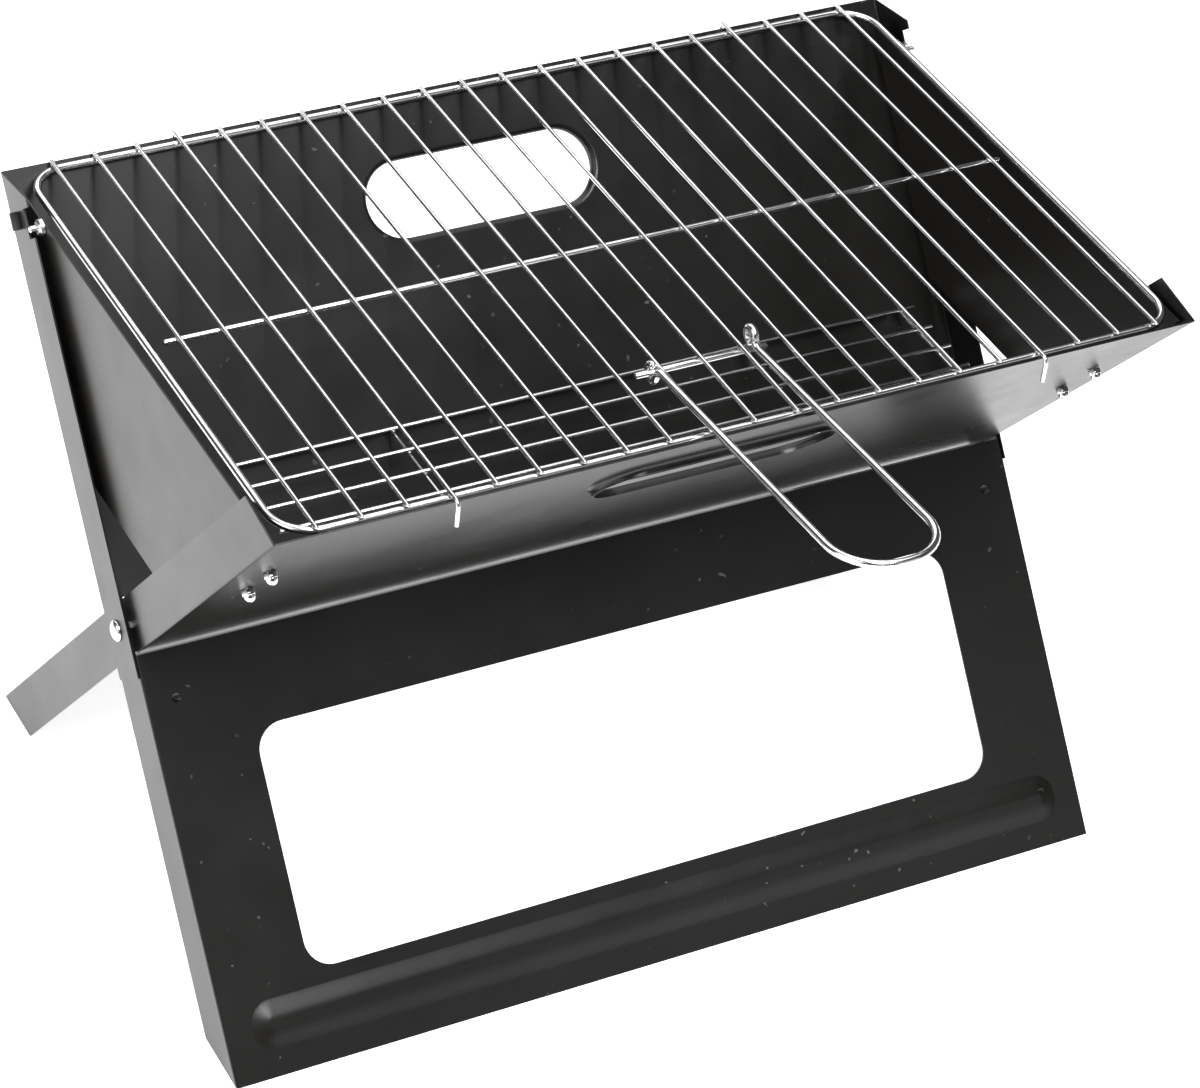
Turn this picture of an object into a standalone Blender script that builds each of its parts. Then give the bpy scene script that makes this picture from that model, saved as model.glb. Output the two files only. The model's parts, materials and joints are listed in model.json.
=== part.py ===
"""Folding camp grill: two crossed sheet steel panels on side pivots, hinged end wings,
a wire cooking grate with a folding handle and a loose charcoal rack.

Metres, +Z up. The origin is on the ground below the middle of the whole outline, handle
included, +X runs along the pivot and the front faces -Y. Each panel's own frame has its origin on the pivot,
+Z up along the panel and +Y towards its rear face.
"""

import math

import bmesh
import bpy
from mathutils import Matrix, Vector

MM = 0.001

# Crossed panels
PANEL_HALF = 206 * MM
LEAN = math.radians(50.5)
STRIP_HALF = 13 * MM
SHEET = 0.8 * MM
GAP = 0.3 * MM
REAR_WALL_HALF = 223 * MM
FRONT_LEG_HALF = REAR_WALL_HALF - SHEET - GAP
FRONT_WALL_HALF = 219.5 * MM
REAR_LEG_HALF = FRONT_WALL_HALF - SHEET - GAP
LAP = 22 * MM
LEG_TOP = -12 * MM
REAR_WALL_FOOT = 12 * MM
FRONT_WALL_FOOT = 6 * MM
REAR_LIP = 22 * MM
FRONT_LIP = 14 * MM
LIP_HALF = 207 * MM
STRIP_TOP_DROP = 15 * MM
LAP_HALF = STRIP_HALF - SHEET - GAP

# Openings in the sheets
HAND_HOLE_HALF = 60 * MM
HAND_HOLE_HEIGHT = 41 * MM
HAND_HOLE_UP = 158.5 * MM
WINDOW_HALF = 176.5 * MM
WINDOW_TOP = -55 * MM
WINDOW_FOOT = -165 * MM
WINDOW_CORNER = 13 * MM
NOTCH_FOOT = 173.5 * MM
NOTCH_TOP = 187 * MM
NOTCH_DEPTH = 6.5 * MM
EAR_UP = 183 * MM
EAR_BACK = 2 * MM
EAR_REACH = 4 * MM
EAR_LENGTH = 8 * MM
EAR_SHEET = 1.2 * MM

# Side pivots
PIVOT_Y = 55.9 * MM
PIVOT_HEIGHT = PANEL_HALF * math.sin(LEAN) - STRIP_HALF * math.cos(LEAN)
RIVET_RADIUS = 2.5 * MM
RIVET_HEAD = 5 * MM
RIVET_DOME = 2.4 * MM
RIVET_TAIL = 1.2 * MM
WASHER_RADIUS = 7 * MM
LEG_FOOT = SHEET / math.tan(LEAN) - PANEL_HALF
WASHER_THICK = FRONT_LEG_HALF - SHEET - FRONT_WALL_HALF - 2 * GAP

# End wings, hinges and latch studs
WING_FACE = 217.6 * MM
WING_FOOT = 48 * MM
WING_TOP = 146.0 * MM
WALL_CLEAR = 2.4 * MM
HINGE_X = 212 * MM
HINGE_Y = -9 * MM
HINGE_FOOT = 104 * MM
HINGE_TOP = 151 * MM
KNUCKLE_SPLIT = 127.5 * MM
KNUCKLE_RADIUS = 2.7 * MM
KNUCKLE_BORE = 1.5 * MM
PIN_RADIUS = 1.2 * MM
LEAF_SHEET = 1.0 * MM
LEAF_INNER = 191 * MM
LEAF_OUTER = HINGE_X - KNUCKLE_RADIUS - GAP
BOLT_X = 201 * MM
BOLT_UPS = (113 * MM, 144 * MM)
BOLT_RADIUS = 1.5 * MM
BOLT_HOLE = 1.8 * MM
BOLT_HEAD = 2.8 * MM
NUT_FLATS = 2.75 * MM
NUT_BASE = 2.6 * MM
NUT_DOME = 2.9 * MM
STUD_UP = 177.5 * MM
STUD_OUT = 11 * MM
STUD_RADIUS = 1.5 * MM

# Cooking grate
RIM = PIVOT_HEIGHT + PANEL_HALF * math.sin(LEAN) - (STRIP_HALF - SHEET) * math.cos(LEAN)
RAIL_X = 213 * MM
RAIL_Y = 136.8 * MM
RAIL_RADIUS = 1.75 * MM
RAIL_CORNER = 18 * MM
RAIL_SINK = 3.6 * MM
BAR_COUNT = 21
BAR_PITCH = 20 * MM
BAR_RADIUS = 1.0 * MM
BAR_END = 139.2 * MM
HOOK_BARS = (4, 18)
HOOK_Y = 144 * MM
HOOK_DROP = 12 * MM
CROSS_RADIUS = 1.25 * MM
CROSS_HALF = 206 * MM
RAIL_HEIGHT = RIM + GAP + RAIL_RADIUS - RAIL_SINK
BAR_HEIGHT = RAIL_HEIGHT + RAIL_RADIUS + GAP + BAR_RADIUS
CROSS_HEIGHT = BAR_HEIGHT - BAR_RADIUS - GAP - CROSS_RADIUS

# Folding handle
ROD_X = 1 * MM
ROD_Y = -90 * MM
ROD_HALF = 32 * MM
ROD_RADIUS = 1.4 * MM
ROD_HEIGHT = BAR_HEIGHT - BAR_RADIUS - GAP - ROD_RADIUS
HANDLE_HALF = 24.2 * MM
HANDLE_RADIUS = 1.75 * MM
HANDLE_LENGTH = 166 * MM
HANDLE_BEND = 22 * MM
EYE_OUTER = 4.3 * MM
EYE_THICK = 2.2 * MM
REST_RISE = RAIL_HEIGHT + RAIL_RADIUS + GAP + HANDLE_RADIUS - ROD_HEIGHT
HANDLE_TILT = math.atan2(REST_RISE, RAIL_Y + ROD_Y)

# Charcoal rack
RACK_WIRES = 6
RACK_PITCH = 16.7 * MM
RACK_RADIUS = 1.0 * MM
RACK_LENGTH = 355 * MM
RACK_SHIFT = 26 * MM
RACK_CROSS_AT = (79 * MM, 262 * MM, 348 * MM)
RACK_CROSS_HALF = 45 * MM
RACK_CROSS_HEIGHT = PIVOT_HEIGHT + 38.5 * MM

# Colours: base colour, metallic, roughness
ENAMEL = ((0.012, 0.011, 0.011), 0.0, 0.28)
ZINC = ((0.72, 0.74, 0.76), 1.0, 0.22)
CHROME = ((0.8, 0.8, 0.8), 1.0, 0.12)


def clear_scene():
    for item in list(bpy.data.objects):
        bpy.data.objects.remove(item, do_unlink=True)


def new_collection(name):
    group = bpy.data.collections.new(name)
    bpy.context.scene.collection.children.link(group)
    return group


def dress(item, look):
    """Gives the object a Principled material of its own."""
    colour, metallic, roughness = look
    material = bpy.data.materials.new(item.name)
    material.use_nodes = True
    shader = material.node_tree.nodes["Principled BSDF"]
    shader.inputs["Base Color"].default_value = (*colour, 1.0)
    shader.inputs["Metallic"].default_value = metallic
    shader.inputs["Roughness"].default_value = roughness
    item.data.materials.clear()
    item.data.materials.append(material)


def add_part(name, mesh, parent=None, look=ENAMEL, smooth=False):
    """Links a finished mesh as a named sub-part, in its parent's frame."""
    item = bpy.data.objects.new(name, mesh)
    PARTS.objects.link(item)
    item.parent = parent
    dress(item, look)
    if smooth:
        mesh.shade_smooth()
        mesh.set_sharp_from_angle(angle=math.radians(40))
    return item


def add_frame(name, location, turn=0.0):
    """An empty whose X axis is a joint's axis."""
    frame = bpy.data.objects.new(name, None)
    PARTS.objects.link(frame)
    frame.location = location
    frame.rotation_euler = (turn, 0.0, 0.0)
    return frame


def add_cutter(name, mesh):
    item = bpy.data.objects.new(name, mesh)
    CUTTERS.objects.link(item)
    item.hide_render = True
    item.display_type = "WIRE"
    return item


def cut(item, cutter, operation="DIFFERENCE"):
    """The cutter shares the item's frame."""
    cutter.parent = item.parent
    boolean = item.modifiers.new(cutter.name, "BOOLEAN")
    boolean.object = cutter
    boolean.operation = operation
    boolean.solver = "EXACT"
    return boolean


def mesh_from(build):
    """A mesh filled by a function that works on a bmesh."""
    mesh = bpy.data.meshes.new("shape")
    bm = bmesh.new()
    build(bm)
    bm.to_mesh(mesh)
    bm.free()
    return mesh


def settled(mesh):
    """Rounds to a micrometre, so that flush faces of joined sheets are exactly flush."""
    for vert in mesh.vertices:
        vert.co = [round(value, 6) for value in vert.co]
    return mesh


def box_mesh(low, high):
    size = [b - a for a, b in zip(low, high)]
    centre = [(a + b) / 2 for a, b in zip(low, high)]

    def build(bm):
        place = Matrix.Translation(centre) @ Matrix.Diagonal((*size, 1.0))
        bmesh.ops.create_cube(bm, size=1.0, matrix=place)

    return mesh_from(build)


def rod_mesh(start, end, radius, sides=16):
    """A straight closed cylinder between two points."""
    start, end = Vector(start), Vector(end)
    turn = Vector((0, 0, 1)).rotation_difference(end - start).to_matrix().to_4x4()

    def build(bm):
        bmesh.ops.create_cone(
            bm,
            cap_ends=True,
            segments=sides,
            radius1=radius,
            radius2=radius,
            depth=(end - start).length,
            matrix=Matrix.Translation((start + end) / 2) @ turn,
        )

    return settled(mesh_from(build))


def mesh_of(item):
    """The evaluated mesh of a curve or a modified object, in its own frame, welded."""
    bpy.context.view_layer.update()
    graph = bpy.context.evaluated_depsgraph_get()
    mesh = bpy.data.meshes.new_from_object(item.evaluated_get(graph))
    bm = bmesh.new()
    bm.from_mesh(mesh)
    bmesh.ops.remove_doubles(bm, verts=bm.verts, dist=0.00001)
    bmesh.ops.recalc_face_normals(bm, faces=bm.faces)
    bm.to_mesh(mesh)
    bm.free()
    bpy.data.objects.remove(item, do_unlink=True)
    return mesh


def wire_mesh(points, radius, closed=False, resolution=2):
    """A bent round wire along the points."""
    curve = bpy.data.curves.new("wire", "CURVE")
    curve.dimensions = "3D"
    curve.bevel_depth = radius
    curve.bevel_resolution = resolution
    curve.use_fill_caps = not closed
    spline = curve.splines.new("POLY")
    spline.points.add(len(points) - 1)
    for point, place in zip(spline.points, points):
        point.co = (*place, 1.0)
    spline.use_cyclic_u = closed
    return mesh_of(add_guide("wire", curve))


def add_guide(name, curve):
    item = bpy.data.objects.new(name, curve)
    CUTTERS.objects.link(item)
    return item


def slab_mesh(outlines, thickness, turn):
    """Flat outlines, the inner ones holes, thickened about their plane and turned into place."""
    curve = bpy.data.curves.new("outline", "CURVE")
    curve.dimensions = "2D"
    curve.fill_mode = "BOTH"
    curve.extrude = thickness / 2
    for outline in outlines:
        spline = curve.splines.new("POLY")
        spline.points.add(len(outline) - 1)
        for point, place in zip(spline.points, outline):
            point.co = (*place, 0.0, 1.0)
        spline.use_cyclic_u = True
    mesh = mesh_of(add_guide("outline", curve))
    mesh.transform(turn)
    return settled(mesh)


def arc(centre, radius, start, end, steps):
    """Points on a circular arc, in degrees."""
    angles = [math.radians(start + (end - start) * k / steps) for k in range(steps + 1)]
    return [
        (centre[0] + radius * math.cos(a), centre[1] + radius * math.sin(a))
        for a in angles
    ]


def rounded_box(half_x, low, high, radius, steps=5):
    """The outline of a rectangle with round corners, anticlockwise."""
    corners = (
        (half_x - radius, high - radius, 0),
        (-half_x + radius, high - radius, 90),
        (-half_x + radius, low + radius, 180),
        (half_x - radius, low + radius, 270),
    )
    points = []
    for x, y, start in corners:
        points += arc((x, y), radius, start, start + 90, steps)
    return points


def circle(centre, radius, steps=16):
    return arc(centre, radius, 0, 360 - 360 / steps, steps - 1)


def obround(half_x, centre_z, height, steps=8):
    radius = height / 2
    right = arc((half_x - radius, centre_z), radius, -90, 90, steps)
    left = arc((radius - half_x, centre_z), radius, 90, 270, steps)
    return right + left


def upright_slab(outlines, y_low, thickness):
    """A slab facing front and rear: outlines in X and Z."""
    lay = Matrix.Translation((0, y_low + thickness / 2, 0)) @ Matrix.Rotation(math.pi / 2, 4, "X")
    return slab_mesh(outlines, thickness, lay)


def side_slab(outlines, x_low, thickness):
    """A slab facing sideways: outlines in Y and Z."""
    lay = Matrix.Translation((x_low + thickness / 2, 0, 0)) @ TO_SIDE
    return slab_mesh(outlines, thickness, lay)


def level_slab(outlines, z_low, thickness):
    """A slab across the panel: outlines in X and Y."""
    return slab_mesh(outlines, thickness, Matrix.Translation((0, 0, z_low + thickness / 2)))


TO_SIDE = Matrix(((0, 0, 1, 0), (1, 0, 0, 0), (0, 1, 0, 0), (0, 0, 0, 1)))


def turned_mesh(profile, steps=20):
    """A profile of radius and height, from top to bottom, turned about Z."""

    def build(bm):
        verts = [bm.verts.new((radius, 0.0, height)) for radius, height in profile]
        for pair in zip(verts, verts[1:]):
            bm.edges.new(pair)

    item = bpy.data.objects.new("turned", mesh_from(build))
    CUTTERS.objects.link(item)
    screw = item.modifiers.new("Turn", "SCREW")
    screw.steps = steps
    screw.render_steps = steps
    screw.use_merge_vertices = True
    screw.merge_threshold = 0.00001
    return mesh_of(item)


def along(mesh, place, direction):
    """Moves a mesh made about +Z so that its axis points in the direction."""
    turn = Vector((0, 0, 1)).rotation_difference(Vector(direction)).to_matrix().to_4x4()
    mesh.transform(Matrix.Translation(place) @ turn)
    return mesh


def join_parts(item, meshes):
    """Unions further pieces of the same folded or welded part with the object."""
    for count, mesh in enumerate(meshes):
        cutter = add_cutter(f"{item.name}.joined{count}", mesh)
        cut(item, cutter, "UNION")
    return item


def ground_line(y_depth):
    """The height in a panel's frame where its leg meets the ground, at a depth into the strip."""
    return y_depth / math.tan(LEAN) - PANEL_HALF


def leg_flange(face_y, far_y):
    """The side strip of a leg frame: a level foot below, a lap clear of both walls above."""
    inward = math.copysign(SHEET, -face_y)
    step = FRONT_WALL_FOOT - GAP
    near_lap = math.copysign(LAP_HALF, face_y)
    far_lap = math.copysign(min(LAP_HALF, abs(far_y)), far_y)
    outline = [
        (face_y, LEG_FOOT),
        (face_y + inward, LEG_FOOT),
        (far_y, ground_line(abs(far_y - face_y))),
    ]
    if far_lap != far_y:
        outline += [(far_y, step), (far_lap, step)]
    return outline + [(far_lap, LAP), (near_lap, LAP), (near_lap, step), (face_y, step)]


def leg_face():
    outline = rounded_box(WINDOW_HALF, WINDOW_FOOT, WINDOW_TOP, WINDOW_CORNER)
    return outline


def folded_panel(name, parent, half, face_y, rows, openings, flange, flange_holes, lip=None):
    """A sheet with one upright face and a strip folded along each side.

    rows are the face's foot and top, flange the strip's outline in Y and Z, and lip an
    optional depth and height of the fold along the foot.
    """
    foot, top = rows
    face_low = face_y - SHEET if face_y > 0 else face_y
    outline = [(-half, foot), (half, foot), (half, top), (-half, top)]
    item = add_part(name, upright_slab([outline] + openings, face_low, SHEET), parent)
    folds = []
    for side in (-1, 1):
        x_low = half - SHEET if side > 0 else -half
        folds.append(side_slab([flange] + flange_holes, x_low, SHEET))
    if lip:
        far_y = face_y - math.copysign(lip, face_y)
        low_y, high_y = sorted((face_y, far_y))
        plate = [(-LIP_HALF, low_y), (LIP_HALF, low_y), (LIP_HALF, high_y), (-LIP_HALF, high_y)]
        folds.append(level_slab([plate], foot, SHEET))
    return join_parts(item, folds)


def rear_panel(frame):
    """The wider panel: the rear wall above the pivot and the front leg frame below it."""
    flange = [
        (STRIP_HALF, -LAP),
        (STRIP_HALF, PANEL_HALF),
        (-STRIP_HALF, PANEL_HALF - STRIP_TOP_DROP),
        (-STRIP_HALF, NOTCH_TOP),
        (-STRIP_HALF + NOTCH_DEPTH, NOTCH_TOP),
        (-STRIP_HALF + NOTCH_DEPTH, NOTCH_FOOT),
        (-STRIP_HALF, NOTCH_FOOT),
        (-STRIP_HALF, -LAP),
    ]
    hole = circle((0, 0), RIVET_RADIUS + GAP)
    hand_hole = obround(HAND_HOLE_HALF, HAND_HOLE_UP, HAND_HOLE_HEIGHT)
    wall = folded_panel(
        "rear_wall",
        frame,
        REAR_WALL_HALF,
        STRIP_HALF,
        (REAR_WALL_FOOT, PANEL_HALF),
        [hand_hole],
        flange,
        [hole],
        REAR_LIP,
    )
    ears = []
    for side in (-1, 1):
        x_low, x_high = sorted((side * (REAR_WALL_HALF - SHEET / 2), side * (REAR_WALL_HALF + EAR_REACH)))
        low = (x_low, EAR_BACK, EAR_UP - EAR_LENGTH / 2)
        high = (x_high, EAR_BACK + EAR_SHEET, EAR_UP + EAR_LENGTH / 2)
        ears.append(box_mesh(low, high))
    for count, mesh in enumerate(ears):
        cut(wall, add_cutter(f"rear_wall.ear{count}", mesh), "UNION")
    folded_panel(
        "front_leg_frame",
        frame,
        FRONT_LEG_HALF,
        -STRIP_HALF,
        (LEG_FOOT, LEG_TOP),
        [leg_face()],
        leg_flange(-STRIP_HALF, STRIP_HALF),
        [hole],
    )


def front_panel(frame):
    """The narrower panel, nested in the other when folded: front wall and rear leg frame."""
    nest = STRIP_HALF - SHEET - GAP - 0.2 * MM
    depth = nest + STRIP_HALF
    flange = [
        (-STRIP_HALF, PANEL_HALF),
        (nest, PANEL_HALF - STRIP_TOP_DROP * depth / (2 * STRIP_HALF)),
        (nest, -LAP),
        (-LAP_HALF, -LAP),
        (-LAP_HALF, LEG_TOP + GAP),
        (-STRIP_HALF, LEG_TOP + GAP),
    ]
    hole = circle((0, 0), RIVET_RADIUS + GAP)
    openings = [obround(HAND_HOLE_HALF, HAND_HOLE_UP, HAND_HOLE_HEIGHT)]
    openings += [circle((x, up), BOLT_HOLE) for x in (-BOLT_X, BOLT_X) for up in BOLT_UPS]
    folded_panel(
        "front_wall",
        frame,
        FRONT_WALL_HALF,
        -STRIP_HALF,
        (FRONT_WALL_FOOT, PANEL_HALF),
        openings,
        flange,
        [hole],
        FRONT_LIP,
    )
    folded_panel(
        "rear_leg_frame",
        frame,
        REAR_LEG_HALF,
        STRIP_HALF,
        (LEG_FOOT, LEG_TOP),
        [leg_face()],
        leg_flange(STRIP_HALF, -nest),
        [hole],
    )


def pivots(frame):
    """The two side rivets and the washers that keep the panels apart."""
    for side, name in ((-1, "left"), (1, "right")):
        outer = REAR_WALL_HALF + GAP
        inner = REAR_LEG_HALF - SHEET - GAP
        profile = [
            (0.0, outer + RIVET_DOME),
            (RIVET_HEAD * 0.55, outer + RIVET_DOME * 0.82),
            (RIVET_HEAD * 0.9, outer + RIVET_DOME * 0.4),
            (RIVET_HEAD, outer),
            (RIVET_RADIUS, outer),
            (RIVET_RADIUS, inner),
            (RIVET_HEAD * 0.8, inner),
            (RIVET_HEAD * 0.8, inner - RIVET_TAIL),
            (0.0, inner - RIVET_TAIL),
        ]
        mesh = along(turned_mesh(profile, 16), (0, 0, 0), (side, 0, 0))
        add_part(f"pivot_rivet_{name}", mesh, frame, ZINC, smooth=True)
        middle = (FRONT_LEG_HALF - SHEET + FRONT_WALL_HALF) / 2
        rings = [circle((0, 0), WASHER_RADIUS), circle((0, 0), RIVET_RADIUS + GAP)]
        washer = side_slab(rings, side * middle - WASHER_THICK / 2, WASHER_THICK)
        add_part(f"pivot_washer_{name}", washer, frame, ZINC)


def wing_outline():
    """The end wing in the front panel's frame: level head and foot, slanted front and rear."""
    slack = WALL_CLEAR / math.sin(LEAN)
    inner = (STRIP_HALF - SHEET) / math.sin(LEAN)
    corners = []
    for height, side in ((WING_FOOT, -1), (WING_FOOT, 1), (WING_TOP, 1), (WING_TOP, -1)):
        reach = height / math.tan(LEAN) + inner - slack
        corners.append(Vector((side * reach, height)))
    turn = math.pi / 2 - LEAN
    across = Vector((math.cos(turn), math.sin(turn)))
    up = Vector((-math.sin(turn), math.cos(turn)))
    return [(corner.dot(across), corner.dot(up)) for corner in corners]


def in_front_panel(point):
    """A point of the rear panel's frame, in Y and Z, as the front panel's frame has it."""
    swing = math.pi - 2 * LEAN
    y, z = point
    return (y * math.cos(swing) + z * math.sin(swing), z * math.cos(swing) - y * math.sin(swing))


def end_wings(frame):
    """The plates that close the ends, each with a knuckle on the hinge pin and a latch stud."""
    stud_y, stud_z = in_front_panel((-STUD_OUT, STUD_UP))
    for side, name in ((-1, "left"), (1, "right")):
        x_low = WING_FACE - SHEET if side > 0 else -WING_FACE
        stud_hole = circle((stud_y, stud_z), STUD_RADIUS + GAP)
        plate = side_slab([wing_outline(), stud_hole], x_low, SHEET)
        wing = add_part(f"wing_{name}", plate, frame)
        centre = (side * HINGE_X, HINGE_Y)
        rings = [circle(centre, KNUCKLE_RADIUS), circle(centre, KNUCKLE_BORE)]
        barrel = level_slab(rings, KNUCKLE_SPLIT + GAP, HINGE_TOP - KNUCKLE_SPLIT - GAP)
        x_near, x_far = sorted((side * (HINGE_X + 2.0 * MM), side * (WING_FACE - SHEET / 2)))
        web = box_mesh(
            (x_near, HINGE_Y - SHEET / 2, KNUCKLE_SPLIT + GAP + 0.5 * MM),
            (x_far, HINGE_Y + SHEET / 2, HINGE_TOP - 0.5 * MM),
        )
        join_parts(wing, [barrel, web])
        face = side * WING_FACE
        out = Vector((side, 0, 0))
        nut = rod_mesh((0, 0, 0), (0, 0, NUT_BASE), NUT_FLATS / math.cos(math.pi / 6), sides=6)
        bore = rod_mesh((0, 0, -NUT_BASE), (0, 0, 2 * NUT_BASE), STUD_RADIUS + 0.1 * MM)
        place = Vector((face, stud_y, stud_z)) + out * GAP
        item = add_part(f"wing_nut_{name}", along(nut, place, out), frame, ZINC)
        cut(item, add_cutter(f"wing_nut_{name}.bore", along(bore, place, out)))
        head = WING_FACE - SHEET - GAP
        tip = WING_FACE + NUT_BASE + 3.6 * MM
        profile = [
            (0.0, tip),
            (STUD_RADIUS, tip),
            (STUD_RADIUS, head),
            (STUD_RADIUS * 2, head),
            (STUD_RADIUS * 1.6, head - 1.4 * MM),
            (0.0, head - 1.4 * MM),
        ]
        stud = along(turned_mesh(profile, 12), (0, stud_y, stud_z), out)
        add_part(f"wing_stud_{name}", stud, frame, ZINC, smooth=True)


def hinges(frame):
    """A leaf bolted inside the front wall at each end, its pin, bolts and dome nuts."""
    leaf_y = -STRIP_HALF + SHEET + GAP
    for side, name in ((-1, "left"), (1, "right")):
        x_low, x_high = sorted((side * LEAF_INNER, side * LEAF_OUTER))
        outline = [(x_low, HINGE_FOOT), (x_high, HINGE_FOOT), (x_high, HINGE_TOP), (x_low, HINGE_TOP)]
        holes = [circle((side * BOLT_X, up), BOLT_HOLE) for up in BOLT_UPS]
        leaf = add_part(f"hinge_leaf_{name}", upright_slab([outline] + holes, leaf_y, LEAF_SHEET), frame)
        centre = (side * HINGE_X, HINGE_Y)
        rings = [circle(centre, KNUCKLE_RADIUS), circle(centre, KNUCKLE_BORE)]
        barrel = level_slab(rings, HINGE_FOOT, KNUCKLE_SPLIT - HINGE_FOOT)
        x_low, x_high = sorted((side * (LEAF_OUTER - 0.5 * MM), side * HINGE_X))
        web = box_mesh(
            (x_low, leaf_y, HINGE_FOOT + 0.5 * MM),
            (x_high, HINGE_Y - 1.8 * MM, KNUCKLE_SPLIT - 0.5 * MM),
        )
        join_parts(leaf, [barrel, web])
        pin = rod_mesh((*centre, HINGE_FOOT), (*centre, HINGE_TOP), PIN_RADIUS)
        add_part(f"hinge_pin_{name}", pin, frame, ZINC, smooth=True)
        for row, up in zip(("lower", "upper"), BOLT_UPS):
            hinge_bolt(frame, f"{name}_{row}", side * BOLT_X, up)


def hinge_bolt(frame, name, x, up):
    head = -STRIP_HALF + SHEET + LEAF_SHEET + 2 * GAP
    nut = -STRIP_HALF - GAP
    tip = nut - NUT_BASE - 1.0 * MM
    profile = [
        (0.0, head + 2.2 * MM),
        (BOLT_HEAD * 0.7, head + 1.9 * MM),
        (BOLT_HEAD, head + 0.6 * MM),
        (BOLT_HEAD, head),
        (BOLT_RADIUS, head),
        (BOLT_RADIUS, tip),
        (0.0, tip),
    ]
    bolt = along(turned_mesh(profile, 16), (x, 0, up), (0, 1, 0))
    add_part(f"hinge_bolt_{name}", bolt, frame, ZINC, smooth=True)
    hexagon = rod_mesh((0, 0, 0), (0, 0, NUT_BASE), NUT_FLATS / math.cos(math.pi / 6), sides=6)
    item = add_part(f"dome_nut_{name}", along(hexagon, (x, nut, up), (0, -1, 0)), frame, CHROME)
    dome = [(0.0, NUT_BASE + NUT_DOME)]
    for step in range(1, 5):
        angle = math.pi / 8 * step
        dome.append((NUT_FLATS * 0.94 * math.sin(angle), NUT_BASE + NUT_DOME * math.cos(angle)))
    dome += [(NUT_FLATS * 0.94, NUT_BASE / 2), (0.0, NUT_BASE / 2)]
    cap = along(turned_mesh(dome, 16), (x, nut, up), (0, -1, 0))
    bore = rod_mesh((x, nut + 1 * MM, up), (x, tip - 0.5 * MM, up), BOLT_RADIUS + 0.1 * MM)
    join_parts(item, [cap])
    cut(item, add_cutter(f"dome_nut_{name}.bore", bore))


def grate(frame):
    """The cooking grate: a bent rim wire, thin bars across it and one wire below them."""
    outline = []
    for x, y, start in ((1, 1, 0), (-1, 1, 90), (-1, -1, 180), (1, -1, 270)):
        centre = (x * (RAIL_X - RAIL_CORNER), y * (RAIL_Y - RAIL_CORNER))
        outline += arc(centre, RAIL_CORNER, start, start + 90, 6)
    rim = [(x, y, RAIL_HEIGHT - PIVOT_HEIGHT) for x, y in outline]
    add_part("grate_rim", wire_mesh(rim, RAIL_RADIUS, closed=True), frame, ZINC, smooth=True)
    level = BAR_HEIGHT - PIVOT_HEIGHT
    for number in range(1, BAR_COUNT + 1):
        x = (number - (BAR_COUNT + 1) / 2) * BAR_PITCH
        if number in HOOK_BARS:
            down = level - HOOK_DROP
            points = [(x, -HOOK_Y, down)]
            points += [(x, y, z) for y, z in hook_bend(level)]
            points += [(x, -y, z) for y, z in reversed(hook_bend(level))]
            points += [(x, HOOK_Y, down)]
            bar = wire_mesh(points, BAR_RADIUS)
        else:
            bar = rod_mesh((x, -BAR_END, level), (x, BAR_END, level), BAR_RADIUS, sides=8)
        add_part(f"grate_bar_{number:02d}", bar, frame, ZINC, smooth=True)
    level = CROSS_HEIGHT - PIVOT_HEIGHT
    cross = rod_mesh((-CROSS_HALF, 0, level), (CROSS_HALF, 0, level), CROSS_RADIUS, sides=12)
    add_part("grate_cross_wire", cross, frame, ZINC, smooth=True)
    level = ROD_HEIGHT - PIVOT_HEIGHT
    rod = rod_mesh((ROD_X - ROD_HALF, ROD_Y, level), (ROD_X + ROD_HALF, ROD_Y, level), ROD_RADIUS)
    add_part("handle_rod", rod, frame, ZINC, smooth=True)


def hook_bend(level):
    """Points of the bend at the front end of a hooked bar, from below upwards."""
    radius = 3 * BAR_RADIUS
    return [
        (-HOOK_Y + radius - radius * math.cos(a), level - radius + radius * math.sin(a))
        for a in (0.0, math.pi / 6, math.pi / 3, math.pi / 2)
    ]


def handle(frame):
    """The U-shaped grate handle with an eye on each end, in its hinge's frame."""
    centre_y = -HANDLE_LENGTH + HANDLE_BEND
    left = arc((-HANDLE_HALF + HANDLE_BEND, centre_y), HANDLE_BEND, 180, 270, 6)
    right = arc((HANDLE_HALF - HANDLE_BEND, centre_y), HANDLE_BEND, 270, 360, 6)
    start = -EYE_OUTER + 0.8 * MM
    points = [(-HANDLE_HALF, start)] + left + right + [(HANDLE_HALF, start)]
    loop = wire_mesh([(x, y, 0.0) for x, y in points], HANDLE_RADIUS)
    item = add_part("handle", loop, frame, CHROME, smooth=True)
    eyes = []
    for side in (-1, 1):
        rings = [circle((0, 0), EYE_OUTER), circle((0, 0), ROD_RADIUS + GAP)]
        eyes.append(side_slab(rings, side * HANDLE_HALF - EYE_THICK / 2, EYE_THICK))
    join_parts(item, eyes)


def rack(frame):
    """The loose charcoal rack: long wires lying on three short ones, low in the trough."""
    low = RACK_CROSS_HEIGHT - PIVOT_HEIGHT
    high = low + 2 * RACK_RADIUS + GAP
    start = RACK_SHIFT - RACK_LENGTH / 2
    for number in range(RACK_WIRES):
        y = (number - (RACK_WIRES - 1) / 2) * RACK_PITCH
        wire = rod_mesh((start, y, high), (start + RACK_LENGTH, y, high), RACK_RADIUS, sides=8)
        add_part(f"rack_wire_{number + 1}", wire, frame, ZINC, smooth=True)
    for number, reach in enumerate(RACK_CROSS_AT):
        x = start + reach
        ends = ((x, -RACK_CROSS_HALF, low), (x, RACK_CROSS_HALF, low))
        cross = rod_mesh(*ends, RACK_RADIUS, sides=8)
        add_part(f"rack_cross_wire_{number + 1}", cross, frame, ZINC, smooth=True)


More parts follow.
